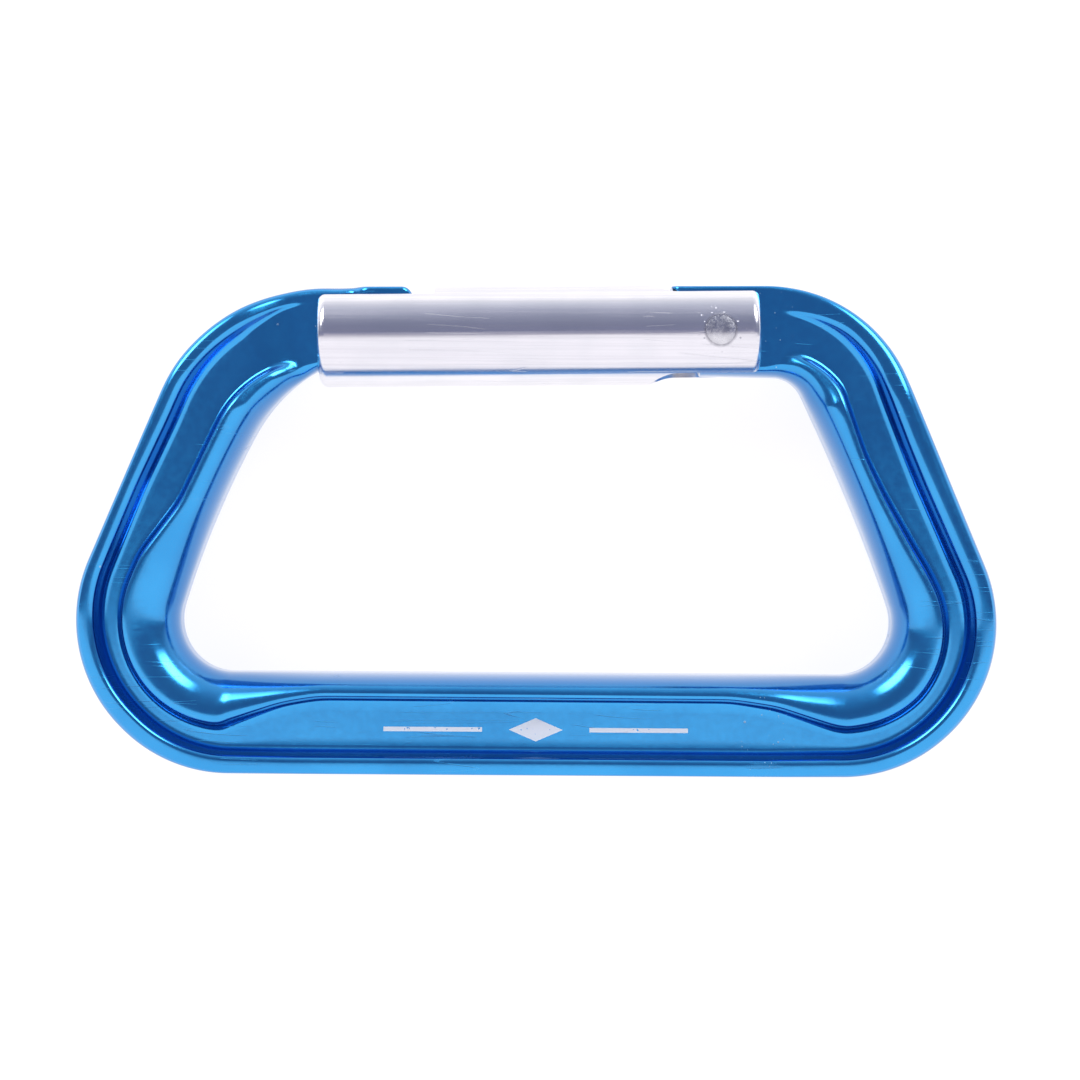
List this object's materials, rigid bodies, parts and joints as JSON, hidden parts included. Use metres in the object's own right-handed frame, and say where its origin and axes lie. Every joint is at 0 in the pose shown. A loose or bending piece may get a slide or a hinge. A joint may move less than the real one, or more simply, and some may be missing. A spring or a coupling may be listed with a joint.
{
  "type": "snap carabiner",
  "caption": "Trapezoidal snap carabiner: a forged I-section bar with a keyed nose, and a sprung solid-rod gate that swings inward.",
  "frame": {"origin": "middle of the outer box, on the mid plane of the bar", "axes": "+X along the spine from the nose end to the hinge end, +Y from the spine to the gate, +Z through the thickness"},
  "size_m": [0.102, 0.0548, 0.012],
  "materials": {
    "anodised_bar": "glossy blue anodised over a tumbled forging",
    "gate_metal": "polished, with fine lengthwise drawing lines",
    "rivet_metal": "peened dome, satin",
    "spring_metal": "drawn wire",
    "pushrod_metal": "turned, satin"
  },
  "bodies": {
    "body": {"body": "anodised_bar"},
    "gate": {"gate": "gate_metal", "gate_rivet": "rivet_metal", "gate_spring": "spring_metal"},
    "pushrod": {"pushrod": "pushrod_metal"}
  },
  "joints": [
    {"name": "gate_hinge", "type": "hinge", "parent": "body", "child": "gate", "pos_m": [0.02017, 0.02226, 0], "axis": [0, 0, 1], "range_deg": [0, 34.4], "stiffness_Nm_per_rad": 0.25, "springref_deg": -45.84, "deforming": ["gate_spring"]},
    {"name": "pushrod_rock", "type": "hinge", "parent": "body", "child": "pushrod", "pos_m": [0.01706, 0.01971, 0], "axis": [0, 0, 1], "range_deg": [0, 43.4]}
  ],
  "couplings": [
    {"joint": "pushrod_rock", "follows": "gate_hinge", "ratio": 1.26}
  ]
}
